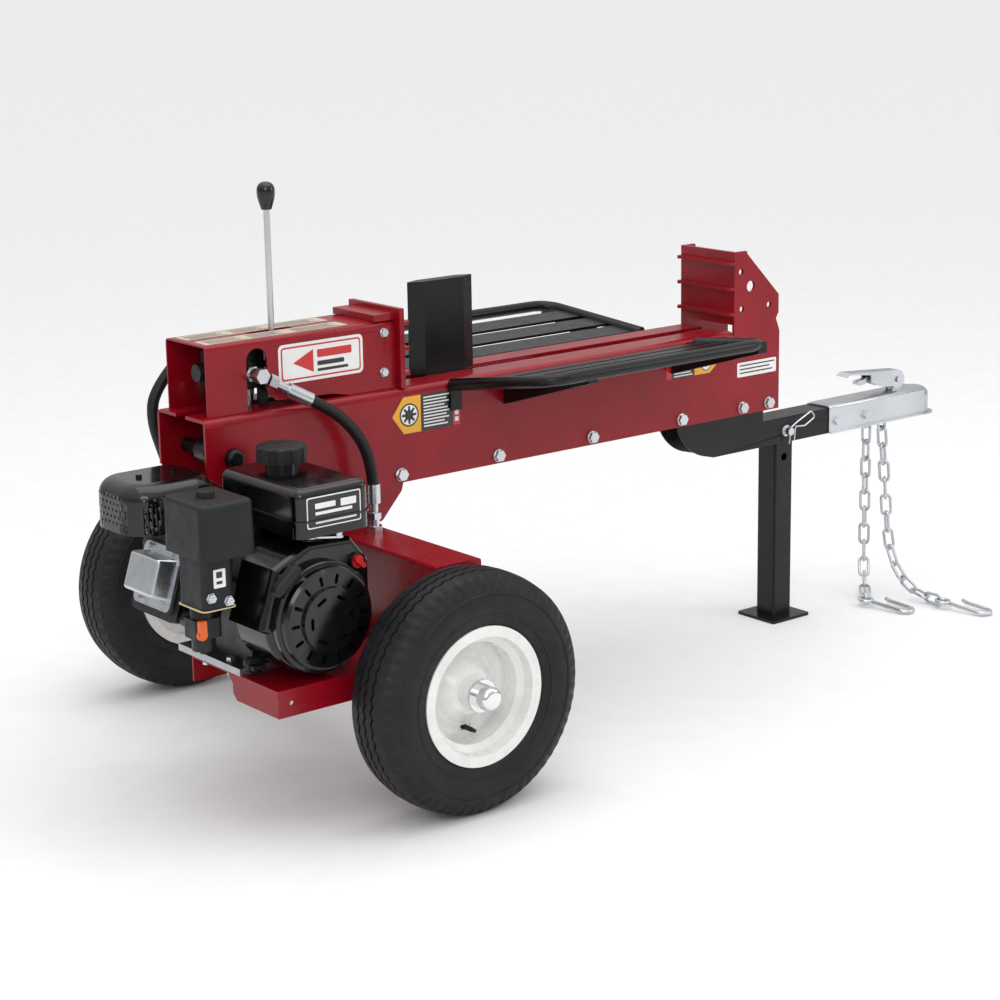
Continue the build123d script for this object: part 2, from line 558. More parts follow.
# ---------------------------------------------------------------- engine plate
with BuildPart() as engine_plate:
    with BuildSketch(TOP.offset(PLATE_TOP - PLATE_T)):
        with Locations(((PLATE_LEFT - 0.2) / 2, (PLATE_NEAR + PLATE_FAR) / 2)):
            Rectangle(-0.2 - PLATE_LEFT, PLATE_FAR - PLATE_NEAR)
    extrude(amount=PLATE_T)
    for y in (PLATE_NEAR, PLATE_FAR - PLATE_T):
        with BuildSketch(SIDE.offset(-y - PLATE_T)):
            with BuildLine():
                Polyline(
                    (PLATE_LEFT, PLATE_TOP), (PLATE_LEFT, 204), (-22, 204), (-22, PLATE_TOP), close=True,
                )
            make_face()
        extrude(amount=PLATE_T)
    with BuildSketch(END.offset(PLATE_LEFT)):
        with BuildLine():
            Polyline(
                (PLATE_NEAR, PLATE_TOP), (PLATE_NEAR, 204), (-236, 204), (-225, 215), (-225, 232),
                (-207, PLATE_TOP), close=True,
            )
        make_face()
    extrude(amount=PLATE_T)
    add(rod(across(-285, 226, PLATE_NEAR - 5), 4, 20), mode=Mode.SUBTRACT)
    with BuildSketch(TOP.offset(PLATE_TOP - 10)):
        with Locations((CRANK_X, -165)):
            with GridLocations(162, 75.5, 2, 2):
                Circle(5)
    extrude(amount=20, mode=Mode.SUBTRACT)
keep(engine_plate, "engine_plate")

# ---------------------------------------------------------------- engine
OIL_CAP_X, OIL_CAP_Z = -294.0, 268.0
with BuildPart() as crankcase:
    with BuildSketch(SIDE.offset(62)):
        with BuildLine():
            Polyline(
                (-313, PLATE_TOP), (-123, PLATE_TOP), (-123, 262), (-148, 262), (-148, 400), (-180, 440),
                (-250, 440), (-288, 400), (-288, 262), (-313, 262), close=True,
            )
        make_face()
    extrude(amount=190)
    fillet(crankcase.edges().filter_by(Axis.Y).sort_by(Axis.Z)[-4:], 14)
    with BuildSketch(TOP.offset(PLATE_TOP - 1)):
        with Locations((CRANK_X, -165)):
            with GridLocations(162, 75.5, 2, 2):
                Circle(4.5)
    extrude(amount=40, mode=Mode.SUBTRACT)
    # Hollow for the crank, with running bores through both end walls.
    add(rod(across(CRANK_X, CRANK_Z, -240), 62, 166), mode=Mode.SUBTRACT)
    add(rod(across(CRANK_X, CRANK_Z, -270), 12.6, 230), mode=Mode.SUBTRACT)
    add(rod(across(CRANK_X, CRANK_Z, -64), 40, 8))
    add(rod(across(CRANK_X, CRANK_Z, -80), 12.6, 30), mode=Mode.SUBTRACT)
    # Oil filler neck on the low near corner.
    add(rod(across(OIL_CAP_X, OIL_CAP_Z, -250, -1), 12, 12))
keep(crankcase, "crankcase")

with BuildPart() as oil_cap:
    add(rod(across(OIL_CAP_X, OIL_CAP_Z, -262.2, -1), 14, 9))
    with BuildSketch(across(OIL_CAP_X, OIL_CAP_Z, -271.2, -1)):
        Rectangle(24, 7)
    extrude(amount=12)
keep(oil_cap, "oil_cap")

EXHAUST = Plane(place(-330, -104, 452), z_dir=(0, 0, 1))
with BuildPart() as cylinder_head:
    with BuildSketch(HEAD.offset(92)):
        RectangleRounded(120, 108, 14)
    extrude(amount=94)
    for reach in range(98, 180, 10):
        with BuildSketch(HEAD.offset(reach)):
            RectangleRounded(140, 130, 16)
            RectangleRounded(108, 96, 12, mode=Mode.SUBTRACT)
        extrude(amount=3.2)
    split(bisect_by=TOP.offset(300), keep=Keep.TOP)
    # The crankcase keeps its own space.
    with BuildSketch(SIDE.offset(40)):
        with Locations((-196, 340)):
            Rectangle(202, 240)
    extrude(amount=240, mode=Mode.SUBTRACT)
    # The exhaust port, and the spark plug's boot.
    add(rod(EXHAUST.offset(-12), 14.3, 60), mode=Mode.SUBTRACT)
    add(rod(Plane(place(-372, -220, 452), z_dir=(0, -0.4, 1)), 9, 24))
keep(cylinder_head, "cylinder_head")

with BuildPart() as valve_cover:
    with BuildSketch(HEAD.offset(186.2)):
        RectangleRounded(112, 102, 12)
    extrude(amount=3)
    with BuildSketch(HEAD.offset(189.2)):
        RectangleRounded(96, 72, 10)
    extrude(amount=32, taper=9)
    fillet(valve_cover.faces().sort_by(Axis.X)[0].edges(), 6)
keep(valve_cover, "valve_cover")

BLOWER_NEAR, SWITCH_X, SWITCH_Z = -348.0, -143.0, 433.0
with BuildPart() as blower_housing:
    with BuildSketch(SIDE.offset(253)):
        with Locations((CRANK_X, CRANK_Z)):
            Circle(99)
        with BuildLine():
            Polyline(
                (-330, 350), (-300, 446), (-232, 478), (-150, 474), (-116, 430), (-116, 300),
                (-180, 262), close=True,
            )
        make_face()
    extrude(amount=-BLOWER_NEAR - 253)
    fillet(blower_housing.faces().sort_by(Axis.Y)[0].edges(), 12)
    with BuildSketch(SIDE.offset(250)):
        with Locations((CRANK_X, CRANK_Z)):
            Circle(92)
    extrude(amount=-BLOWER_NEAR - 253, mode=Mode.SUBTRACT)
    add(rod(across(CRANK_X, CRANK_Z, -400), 60, 100), mode=Mode.SUBTRACT)
    # The raised ring round the engine switch.
    add(rod(across(SWITCH_X, SWITCH_Z, BLOWER_NEAR + 0.5, -1), 15, 4.5, 11.4))
keep(blower_housing, "blower_housing")

with BuildPart() as recoil_cover:
    # The profile is (radius, depth in front of the blower's face).
    with BuildSketch(Plane(place(CRANK_X, BLOWER_NEAR, CRANK_Z), x_dir=(1, 0, 0), z_dir=(0, 0, 1))):
        with BuildLine():
            Polyline(
                (78, -0.2), (92, -0.2), (92, -13), (90, -15), (86, -16), (84, -26), (79, -30), (55, -30),
                (53, -36), (0, -36), (0, -25), (78, -25), close=True,
            )
        make_face()
    revolve(axis=Axis(place(CRANK_X, 0, CRANK_Z), (0, 1, 0)))
    with BuildSketch(across(CRANK_X, CRANK_Z, BLOWER_NEAR - 20, -1)):
        with PolarLocations(66.5, 14):
            SlotOverall(17, 6)
        with PolarLocations(38, 6):
            SlotOverall(20, 6, rotation=90)
    extrude(amount=30, mode=Mode.SUBTRACT)
keep(recoil_cover, "recoil_cover")

with BuildPart() as recoil_handle:
    with BuildSketch(across(CRANK_X - 74, CRANK_Z + 76, BLOWER_NEAR - 0.4, -1)):
        Circle(7)
    extrude(amount=14)
    with BuildSketch(across(CRANK_X - 74, CRANK_Z + 76, BLOWER_NEAR - 12, -1)):
        SlotOverall(62, 20, rotation=40)
    extrude(amount=17)
    fillet(recoil_handle.faces().sort_by(Axis.Y)[0].edges(), 6)
keep(recoil_handle, "recoil_handle")

with BuildPart() as crankshaft:
    add(rod(across(CRANK_X, CRANK_Z, -330), 12.5, 330 + PUMP_Y + 28))
    # Crank webs and pin, with the flywheel and its fan on the near end.
    for y in (-196, -150):
        add(rod(across(CRANK_X, CRANK_Z, y), 44, 16))
    with BuildPart() as flywheel:
        add(rod(across(CRANK_X, CRANK_Z, -318), 88, 40))
        with BuildSketch(across(CRANK_X, CRANK_Z, -318)):
            with PolarLocations(62, 16):
                SlotOverall(36, 12)
        extrude(amount=22, mode=Mode.SUBTRACT)
    add(flywheel.part)
    add(rod(across(CRANK_X, CRANK_Z, -50), 26, 34))
keep(crankshaft, "crankshaft")

FUEL_LEFT, FUEL_RIGHT, FUEL_NEAR, FUEL_FAR = -262.0, -122.0, -362.0, -132.0
with BuildPart() as fuel_tank:
    with BuildSketch(TOP.offset(490)):
        with Locations(((FUEL_LEFT + FUEL_RIGHT) / 2, (FUEL_NEAR + FUEL_FAR) / 2)):
            RectangleRounded(FUEL_RIGHT - FUEL_LEFT, FUEL_FAR - FUEL_NEAR, 16)
    extrude(amount=80)
    fillet(fuel_tank.faces().sort_by(Axis.Z)[-1].edges(), 15)
    with BuildSketch(TOP.offset(493)):
        with Locations(((FUEL_LEFT + FUEL_RIGHT) / 2, (FUEL_NEAR + FUEL_FAR) / 2)):
            RectangleRounded(FUEL_RIGHT - FUEL_LEFT - 6, FUEL_FAR - FUEL_NEAR - 6, 13)
    extrude(amount=71, taper=3, mode=Mode.SUBTRACT)
    add(rod(Plane(place(-185, -205, 562), z_dir=(0, 0, 1)), 27, 20))
    # Seam flange round the middle, and two feet down to the engine.
    with BuildSketch(TOP.offset(516)):
        with Locations(((FUEL_LEFT + FUEL_RIGHT) / 2, (FUEL_NEAR + FUEL_FAR) / 2)):
            RectangleRounded(FUEL_RIGHT - FUEL_LEFT + 6, FUEL_FAR - FUEL_NEAR + 6, 18)
            RectangleRounded(FUEL_RIGHT - FUEL_LEFT - 4, FUEL_FAR - FUEL_NEAR - 4, 14, mode=Mode.SUBTRACT)
    extrude(amount=3)
    with BuildSketch(TOP.offset(440.2)):
        for x in (-232, -162):
            with Locations((x, -200)):
                Rectangle(26, 60)
    extrude(amount=51)
    add(rod(Plane(place(-185, -205, 560), z_dir=(0, 0, 1)), 21, 40), mode=Mode.SUBTRACT)
keep(fuel_tank, "fuel_tank")

with BuildPart() as fuel_cap:
    add(rod(Plane(place(-185, -205, 570.4), z_dir=(0, 0, 1)), 20.6, 14))
    with BuildSketch(TOP.offset(582.4)):
        with Locations((-185, -205)):
            Circle(42)
            with PolarLocations(46, 10):
                Circle(8, mode=Mode.SUBTRACT)
    extrude(amount=26)
    fillet(fuel_cap.faces().sort_by(Axis.Z)[-1].edges(), 4)
keep(fuel_cap, "fuel_cap")

AIR_LEFT, AIR_RIGHT, AIR_NEAR, AIR_FAR = -431.0, -331.0, -352.0, -228.0
with BuildPart() as air_cleaner:
    with BuildSketch(TOP.offset(482)):
        with Locations(((AIR_LEFT + AIR_RIGHT) / 2, (AIR_NEAR + AIR_FAR) / 2)):
            RectangleRounded(AIR_RIGHT - AIR_LEFT, AIR_FAR - AIR_NEAR, 16)
    extrude(amount=88, taper=1)
    fillet(air_cleaner.faces().sort_by(Axis.Z)[-1].edges(), 8)
    # The intake elbow below the box.
    with BuildSketch(TOP.offset(396)):
        with Locations((-392, -292)):
            RectangleRounded(58, 76, 10)
    extrude(amount=86.5)
    with BuildSketch(TOP.offset(485)):
        with Locations(((AIR_LEFT + AIR_RIGHT) / 2, (AIR_NEAR + AIR_FAR) / 2)):
            RectangleRounded(AIR_RIGHT - AIR_LEFT - 6, AIR_FAR - AIR_NEAR - 6, 13)
    extrude(amount=80, taper=2, mode=Mode.SUBTRACT)
    add(rod(Plane(place(-390, -272, 390), z_dir=(0, 0, 1)), 18, 97), mode=Mode.SUBTRACT)
    # The knob that holds the lid down.
    with BuildSketch(TOP.offset(569)):
        with Locations((-384, -288)):
            Circle(15)
            with PolarLocations(17, 8):
                Circle(3, mode=Mode.SUBTRACT)
    extrude(amount=10)
keep(air_cleaner, "air_cleaner")

with BuildPart() as carburettor:
    add(rod(Plane(place(-390, -272, 372), z_dir=(0, 0, 1)), 20, 23.8))
    with BuildSketch(TOP.offset(340)):
        with Locations((-390, -272)):
            RectangleRounded(48, 44, 8)
    extrude(amount=32)
    add(rod(across(-390, 358, -250), 14, 25))
    add(rod(Plane(place(-390, -272, 318), z_dir=(0, 0, 1)), 19, 22))
    add(hexagon(Plane(place(-390, -272, 311), z_dir=(0, 0, 1)), 12, 8))
    # Flange and insulator reaching back to the cylinder head.
    with BuildSketch(TOP.offset(352)):
        with Locations((-372, -244.6)):
            Rectangle(30, 48.6)
    extrude(amount=14)
keep(carburettor, "carburettor")

with BuildPart() as fuel_valve_lever:
    add(rod(across(-407, 350, -294.4, -1), 9, 5))
    with BuildSketch(across(-407, 350, -294.4, -1)):
        with Locations((0, 10)):
            RectangleRounded(13, 28, 3)
    extrude(amount=8)
keep(fuel_valve_lever, "fuel_valve_lever")

with BuildPart() as throttle_lever:
    add(rod(Plane(place(-214, -322, 478.4), z_dir=(0, 0, 1)), 11, 3))
    with BuildSketch(TOP.offset(478.4)):
        with Locations((-194, -336)):
            SlotOverall(58, 10, rotation=-34)
    extrude(amount=3)
    add(rod(Plane(place(-176, -348, 478.4), z_dir=(0, 0, 1)), 6, 9))
keep(throttle_lever, "throttle_lever")

with BuildPart() as engine_switch:
    add(rod(across(SWITCH_X, SWITCH_Z, BLOWER_NEAR - 0.3, -1), 11, 5))
    with BuildSketch(across(SWITCH_X, SWITCH_Z, BLOWER_NEAR - 4.5, -1)):
        SlotOverall(25, 8, rotation=-44)
    extrude(amount=9)
keep(engine_switch, "engine_switch")

MUFFLER_LEFT, MUFFLER_RIGHT, MUFFLER_NEAR, MUFFLER_FAR = -412.0, -268.0, -122.0, 2.0
with BuildPart() as muffler:
    with BuildSketch(TOP.offset(486)):
        with Locations(((MUFFLER_LEFT + MUFFLER_RIGHT) / 2, (MUFFLER_NEAR + MUFFLER_FAR) / 2)):
            RectangleRounded(MUFFLER_RIGHT - MUFFLER_LEFT, MUFFLER_FAR - MUFFLER_NEAR, 26)
    extrude(amount=58)
    fillet(muffler.faces().sort_by(Axis.Z)[-1].edges(), 14)
    with BuildSketch(TOP.offset(489)):
        with Locations(((MUFFLER_LEFT + MUFFLER_RIGHT) / 2, (MUFFLER_NEAR + MUFFLER_FAR) / 2)):
            RectangleRounded(MUFFLER_RIGHT - MUFFLER_LEFT - 6, MUFFLER_FAR - MUFFLER_NEAR - 6, 23)
    extrude(amount=50, taper=5, mode=Mode.SUBTRACT)
    add(rod(EXHAUST, 14, 40))
    add(rod(EXHAUST, 11, 45), mode=Mode.SUBTRACT)
keep(muffler, "muffler")

with BuildPart() as muffler_guard:
    with BuildPart() as guard:
        with BuildSketch(TOP.offset(476)):
            with Locations(((MUFFLER_LEFT + MUFFLER_RIGHT) / 2, (MUFFLER_NEAR + MUFFLER_FAR) / 2)):
                RectangleRounded(MUFFLER_RIGHT - MUFFLER_LEFT + 26, MUFFLER_FAR - MUFFLER_NEAR + 26, 50)
        extrude(amount=82)
        fillet(guard.faces().sort_by(Axis.Z)[-1].edges(), 28)
        offset(amount=-1.6, openings=guard.faces().sort_by(Axis.Z)[0])
    add(guard.part)
    for x in (-370, -304):
        add(rod(Plane(place(x, -60, 544.2), z_dir=(0, 0, 1)), 5, 14))
        add(hexagon(Plane(place(x, -60, 558), z_dir=(0, 0, 1)), 10, 5))
keep(muffler_guard, "muffler_guard")

# ---------------------------------------------------------------- pump and oil lines
with BuildPart() as pump_bracket:
    add(rod(across(CRANK_X, CRANK_Z, PTO_Y + 6.2), 46, PUMP_Y - PTO_Y - 6.2, 31))
    add(rod(across(CRANK_X, CRANK_Z, PTO_Y + 6.2), 62, 8, 31))
    add(rod(across(CRANK_X, CRANK_Z, PUMP_Y - 8), 54, 8, 31))
    for angle in (45, 135, 225, 315):
        x, z = CRANK_X + 54 * cos(radians(angle)), CRANK_Z + 54 * sin(radians(angle))
        add(hexagon(across(x, z, PTO_Y + 14), 13, 7))
    with BuildSketch(across(CRANK_X, CRANK_Z, -20)):
        SlotOverall(140, 26, rotation=90)
    extrude(amount=26, mode=Mode.SUBTRACT)
keep(pump_bracket, "pump_bracket")

with BuildPart() as pump:
    with BuildSketch(across(CRANK_X, CRANK_Z, PUMP_Y + 0.2)):
        RectangleRounded(86, 104, 20)
    extrude(amount=PUMP_END - PUMP_Y)
    for y in (PUMP_Y + 26, PUMP_Y + 66):
        with BuildSketch(across(CRANK_X, CRANK_Z, y)):
            RectangleRounded(100, 118, 24)
        extrude(amount=3)
    # Suction port on the tank's side and pressure port on top.
    add(rod(Plane(place(CRANK_X + 30, 80, 330), z_dir=(1, 0, 0)), 15, 24))
    add(rod(Plane(place(CRANK_X, 92, CRANK_Z + 40), z_dir=(0, 0, 1)), 13, 23))
    add(rod(across(CRANK_X, CRANK_Z, PUMP_Y - 5), 13, 40), mode=Mode.SUBTRACT)
    for angle in (50, 130, 230, 310):
        x, z = CRANK_X + 44 * cos(radians(angle)), CRANK_Z + 44 * sin(radians(angle))
        add(hexagon(across(x, z, PUMP_END), 13, 8))
keep(pump, "pump")

with BuildPart() as steel_lines:
    # Suction line from the tank to the pump, with a nut at each end.
    suction = [place(CRANK_X + 54, 80, 330), place(-100, 80, 330), place(-60, 80, 300), place(0, 80, 300)]
    with BuildLine():
        FilletPolyline(*suction, radius=24)
    with BuildSketch(Plane(suction[0], z_dir=(1, 0, 0))):
        Circle(10)
    sweep()
    add(hexagon(Plane(place(CRANK_X + 54, 80, 330), z_dir=(1, 0, 0)), 30, 14))
    add(hexagon(Plane(place(-22, 80, 300), z_dir=(1, 0, 0)), 30, 22))
    # Work lines from the valve down through the beam's slot to the cylinder's two ports.
    add(rod(Plane(place(REAR_PORT_X, 0, CYLINDER_Z + 56.2), z_dir=(0, 0, 1)), 4, 39.6))
    add(hexagon(Plane(place(REAR_PORT_X, 0, 653), z_dir=(0, 0, 1)), 17, 8.8))
    corners = (
        (-112, 0, 661.8), (-112, 0, 620.5), (-112, 62, 620.5), (-90, 62, 600), (380, 62, 600),
        (400, 62, 580), (400, 50.2, 580),
    )
    front = [place(*point) for point in corners]
    with BuildLine():
        FilletPolyline(*front, radius=8)
    with BuildSketch(Plane(front[0], z_dir=(0, 0, -1))):
        Circle(4)
    sweep()
    add(hexagon(Plane(place(-112, 0, 653), z_dir=(0, 0, 1)), 17, 8.8))
keep(steel_lines, "steel_lines")


# ---------------------------------------------------------------- hoses
# The return hose arcs from the valve's near port down to the tank's top; the pressure
# hose rises from the pump, bows out past the beam's open end and enters the far port.
RETURN_ROUTE = (
    (-53, -100, 648), (-8, -108, 622), (32, -115, 578), (54, -118, 530), (58, -118, 487),
)
PRESSURE_ROUTE = (
    (CRANK_X, 92, 455), (-215, 94, 505), (-229, 103, 556), (-242, 109, 608), (-234, 112, 656),
    (-200, 108, 692),
)
hose_return = hose("hose_return", RETURN_ROUTE, HOSE_R)
keep(hose_return, "hose_return")
hose_pressure = hose("hose_pressure", PRESSURE_ROUTE, HOSE_R)
keep(hose_pressure, "hose_pressure")


def ferrule(point, toward, length):
    """A crimped steel ferrule that holds a hose's end, running away from it."""
    start = place(*point)
    heading = Plane(start, z_dir=place(*toward) - start)
    with BuildPart() as sleeve:
        add(rod(heading, HOSE_R + 2.5, length * 0.55))
        add(rod(heading, 8, length))
        add(hexagon(heading.offset(length * 0.82), 24, length * 0.18))
    return sleeve.part


with BuildPart() as hose_fittings:
    # Valve side of the return hose: ferrule, elbow nut and adapter into the near port.
    add(ferrule((-53, -100, 648), (-128, -80, 690), 84))
    add(rod(across(VALVE_PORT_X, SPOOL_Z - 4, -VALVE_HALF - 8.2, -1), 10, 48))
    add(hexagon(across(VALVE_PORT_X, SPOOL_Z - 4, -VALVE_HALF - 12, -1), 24, 14))
    add(hexagon(across(VALVE_PORT_X, SPOOL_Z - 4, -68, -1), 24, 20))
    # Tank end of the return hose.
    add(ferrule((58, -118, 487), (58, -118, 420), 62))
    add(rod(Plane(place(58, -118, 400.2), z_dir=(0, 0, 1)), 10, 26))
    add(hexagon(Plane(place(58, -118, 400.2), z_dir=(0, 0, 1)), 27, 12))
    # Pump end and valve end of the pressure hose.
    add(ferrule((CRANK_X, 92, 455), (CRANK_X, 92, 420), 33))
    add(rod(Plane(place(CRANK_X, 92, 419.2), z_dir=(0, 0, 1)), 9, 6))
    add(ferrule((-200, 108, 692), (-160, 104, 702), 44))
    add(rod(across(VALVE_PORT_X, SPOOL_Z, VALVE_HALF + 8.2), 10, 74))
    add(hexagon(across(VALVE_PORT_X, SPOOL_Z, VALVE_HALF + 12), 24, 14))
    add(hexagon(across(VALVE_PORT_X, SPOOL_Z, 94), 26, 20))
    add(rod(Plane(place(-160, 104, 702), z_dir=(1, 0, 0)), 9, 22))
keep(hose_fittings, "hose_fittings")

# ---------------------------------------------------------------- tongue and leg
with BuildPart() as tongue:
    for side in (-1, 1):
        y = side * (TONGUE_HALF - TONGUE_T / 2)
        with BuildSketch(SIDE.offset(-y - TONGUE_T / 2)):
            with BuildLine():
                Polyline(
                    (929, TONGUE_BOTTOM + 8), (960, TONGUE_BOTTOM), (1420, TONGUE_BOTTOM),
                    (1420, TONGUE_TOP), (1099, TONGUE_TOP), (1099, 506), (862, 506), (862, 447),
                )
                ThreePointArc((862, 447), (889, 407), (929, TONGUE_BOTTOM + 8))
            make_face()
            for x in BOLT_X[4:]:
                with Locations((x, BOLT_Z)):
                    Circle(6.2, mode=Mode.SUBTRACT)
            with Locations((LEG_X, LEG_Z)):
                Circle(LEG_PIN_R + 0.1, mode=Mode.SUBTRACT)
            with Locations(*[(x, COUPLER_BOLT_Z) for x in COUPLER_BOLT_X]):
                Circle(5.2, mode=Mode.SUBTRACT)
        extrude(amount=TONGUE_T)
    for left, right, z in ((862, 1099, 506), (1099, 1420, TONGUE_TOP)):
        with BuildSketch(TOP.offset(z - TONGUE_T)):
            with Locations(((left + right) / 2, 0)):
                Rectangle(right - left, 2 * TONGUE_HALF)
        extrude(amount=TONGUE_T)
    with BuildSketch(END.offset(1099 - TONGUE_T)):
        with Locations((0, (TONGUE_TOP + 506) / 2)):
            Rectangle(2 * TONGUE_HALF, 506 - TONGUE_TOP + 2 * TONGUE_T)
    extrude(amount=TONGUE_T)
keep(tongue, "tongue")

LEG_FOOT, LEG_FOOT_T, LEG_WALL = 106.0, 6.0, 3.0
with BuildPart() as leg:
    with BuildSketch(TOP.offset(LEG_FOOT_T)):
        with Locations((LEG_X, 0)):
            RectangleRounded(2 * LEG_HALF, 2 * LEG_HALF, 4)
            RectangleRounded(2 * LEG_HALF - 2 * LEG_WALL, 2 * LEG_HALF - 2 * LEG_WALL, 2, mode=Mode.SUBTRACT)
    extrude(amount=LEG_Z + 30 - LEG_FOOT_T)
    # The top end is rounded about the pin, so that it turns under the tongue's web.
    with BuildSketch(SIDE.offset(-60)):
        with Locations((LEG_X, LEG_Z + 30)):
            Rectangle(100, 60)
        with Locations((LEG_X, LEG_Z)):
            Circle(LEG_HALF - 0.2, mode=Mode.SUBTRACT)
    extrude(amount=120, mode=Mode.SUBTRACT)
    for z in (LEG_Z, 345):
        add(rod(across(LEG_X, z, -40), LEG_PIN_R + 0.1, 80), mode=Mode.SUBTRACT)
    with BuildSketch(TOP):
        with Locations((LEG_X, 0)):
            RectangleRounded(LEG_FOOT, LEG_FOOT, 4)
    extrude(amount=LEG_FOOT_T)
keep(leg, "leg")

with BuildPart() as leg_pin:
    add(rod(across(LEG_X, LEG_Z, -46), LEG_PIN_R, 46 + TONGUE_HALF))
    add(rod(across(LEG_X, LEG_Z, TONGUE_HALF), 12, 6))
    add(rod(across(LEG_X, LEG_Z, -TONGUE_HALF, -1), 12, 2))
    # Hairpin clip through the pin's near end.
    turns = ((-2, -26), (4, 8), (24, 18), (62, 34), (74, 20), (44, 6), (16, 8), (13, -20))
    clip = [place(LEG_X + dx, -41, LEG_Z + dz) for dx, dz in turns]
    with BuildLine():
        FilletPolyline(*clip, radius=5)
    with BuildSketch(Plane(clip[0], z_dir=clip[1] - clip[0])):
        Circle(1.6)
    sweep()
keep(leg_pin, "leg_pin")

# ---------------------------------------------------------------- coupler
with BuildPart() as ball_dome:
    add(rod(Plane(place(BALL_X, 0, COUPLER_BOTTOM), z_dir=(0, 0, 1)), COUPLER_HALF, COUPLER_TOP - COUPLER_BOTTOM))
    fillet(ball_dome.faces().sort_by(Axis.Z)[-1].edges(), 20)

with BuildPart() as coupler:
    with BuildSketch(TOP.offset(COUPLER_BOTTOM)):
        with Locations(((COUPLER_LEFT + BALL_X) / 2, 0)):
            Rectangle(BALL_X - COUPLER_LEFT, 2 * COUPLER_HALF)
    extrude(amount=COUPLER_TOP - COUPLER_BOTTOM)
    fillet(coupler.edges().filter_by(Axis.X).group_by(Axis.Z)[-1], 6)
    add(ball_dome.part)
    # The outward lip along the lower edge and round the nose.
    with BuildSketch(TOP.offset(COUPLER_BOTTOM)):
        with Locations(((COUPLER_LEFT + BALL_X) / 2, 0)):
            Rectangle(BALL_X - COUPLER_LEFT, 2 * COUPLER_HALF + 14)
        with Locations((BALL_X, 0)):
            Circle(COUPLER_HALF + 10)
    extrude(amount=COUPLER_T)
    with BuildSketch(TOP.offset(COUPLER_BOTTOM - 1)):
        with Locations(((COUPLER_LEFT + BALL_X) / 2 - 20, 0)):
            Rectangle(BALL_X - COUPLER_LEFT, 2 * (COUPLER_HALF - COUPLER_T))
        with Locations((BALL_X, 0)):
            Circle(BALL_R + 0.4)
    extrude(amount=BALL_Z - COUPLER_BOTTOM + 1, mode=Mode.SUBTRACT)
    with BuildSketch(TOP.offset(COUPLER_BOTTOM - 1)):
        with Locations(((COUPLER_LEFT + BALL_X) / 2 - 20, 0)):
            Rectangle(BALL_X - COUPLER_LEFT, 2 * (COUPLER_HALF - COUPLER_T))
    extrude(amount=COUPLER_TOP - COUPLER_T - COUPLER_BOTTOM + 1, mode=Mode.SUBTRACT)
    with Locations(place(BALL_X, 0, BALL_Z)):
        Sphere(BALL_R + 0.4, mode=Mode.SUBTRACT)
    for x in COUPLER_BOLT_X:
        add(rod(across(x, COUPLER_BOLT_Z, -60), 5.2, 120), mode=Mode.SUBTRACT)
    with BuildSketch(TOP.offset(COUPLER_TOP - 10)):
        with Locations((1511, 0)):
            SlotOverall(26, 12)
    extrude(amount=20, mode=Mode.SUBTRACT)
    # Pin that the safety chains hang from, and the latch's two ears.
    add(rod(across(CHAIN_X, CHAIN_PIN_Z, 1 - COUPLER_HALF), CHAIN_PIN_R, 2 * COUPLER_HALF - 2))
    for side in (-1, 1):
        with BuildSketch(SIDE.offset(side * 9 - 1.5)):
            with Locations((LATCH_X, LATCH_Z)):
                Circle(12)
            with Locations((LATCH_X, (LATCH_Z + COUPLER_TOP - 1) / 2)):
                Rectangle(24, LATCH_Z - COUPLER_TOP + 1)
        extrude(amount=3)
    add(rod(across(LATCH_X, LATCH_Z, -20), 4, 40))
    for y in (-17.4, 17.4):
        add(rod(across(LATCH_X, LATCH_Z, y, 1 if y > 0 else -1), 6.5, 2.6))
keep(coupler, "coupler")

with BuildPart() as latch_lever:
    for side in (-1, 1):
        with BuildSketch(SIDE.offset(side * 14 - 1.5)):
            with Locations((LATCH_X, LATCH_Z)):
                Circle(20)
            with BuildLine():
                Polyline(
                    (LATCH_X, LATCH_Z - 14), (1476, 447), (1450, 456), (1436, 462), (1436, 478), (1372, 486),
                    (1372, 490), (LATCH_X + 4, 478), close=True,
                )
            make_face()
            with Locations((LATCH_X, LATCH_Z)):
                Circle(4.1, mode=Mode.SUBTRACT)
        extrude(amount=3)
    with BuildSketch(SIDE.offset(-15.5)):
        with BuildLine():
            Polyline(
                (1366, 487), (1372, 490), (LATCH_X + 4, 478), (LATCH_X + 4, 475), (1372, 487), (1362, 482),
                (1360, 484), close=True,
            )
        make_face()
    extrude(amount=31)
    # The finger trigger between the cheeks.
    with BuildSketch(SIDE.offset(-7)):
        with BuildLine():
            Polyline(
                (1470, 474), (1440, 475), (1424, 470), (1404, 468), (1400, 462), (1412, 457), (1428, 460),
                (1444, 464), (1470, 462), close=True,
            )
        make_face()
    extrude(amount=14)
    add(rod(across(1462, 468, -13), 3.5, 26))
keep(latch_lever, "latch_lever")

with BuildPart() as latch_jaw:
    with BuildSketch(SIDE.offset(-12)):
        with BuildLine():
            Polyline(
                (1508, 425), (1536, 425), (1552, 404), (1556, 384), (1546, 380), (1530, 392),
                (1514, 410), close=True,
            )
        make_face()
    extrude(amount=24)
    with Locations(place(BALL_X, 0, BALL_Z)):
        Sphere(BALL_R + 1.4, mode=Mode.SUBTRACT)
    # The stem comes up through the coupler's slot to the latch.
    with BuildSketch(TOP.offset(420)):
        with Locations((1514, 0)):
            Rectangle(8, 9)
    extrude(amount=27)
keep(latch_jaw, "latch_jaw")

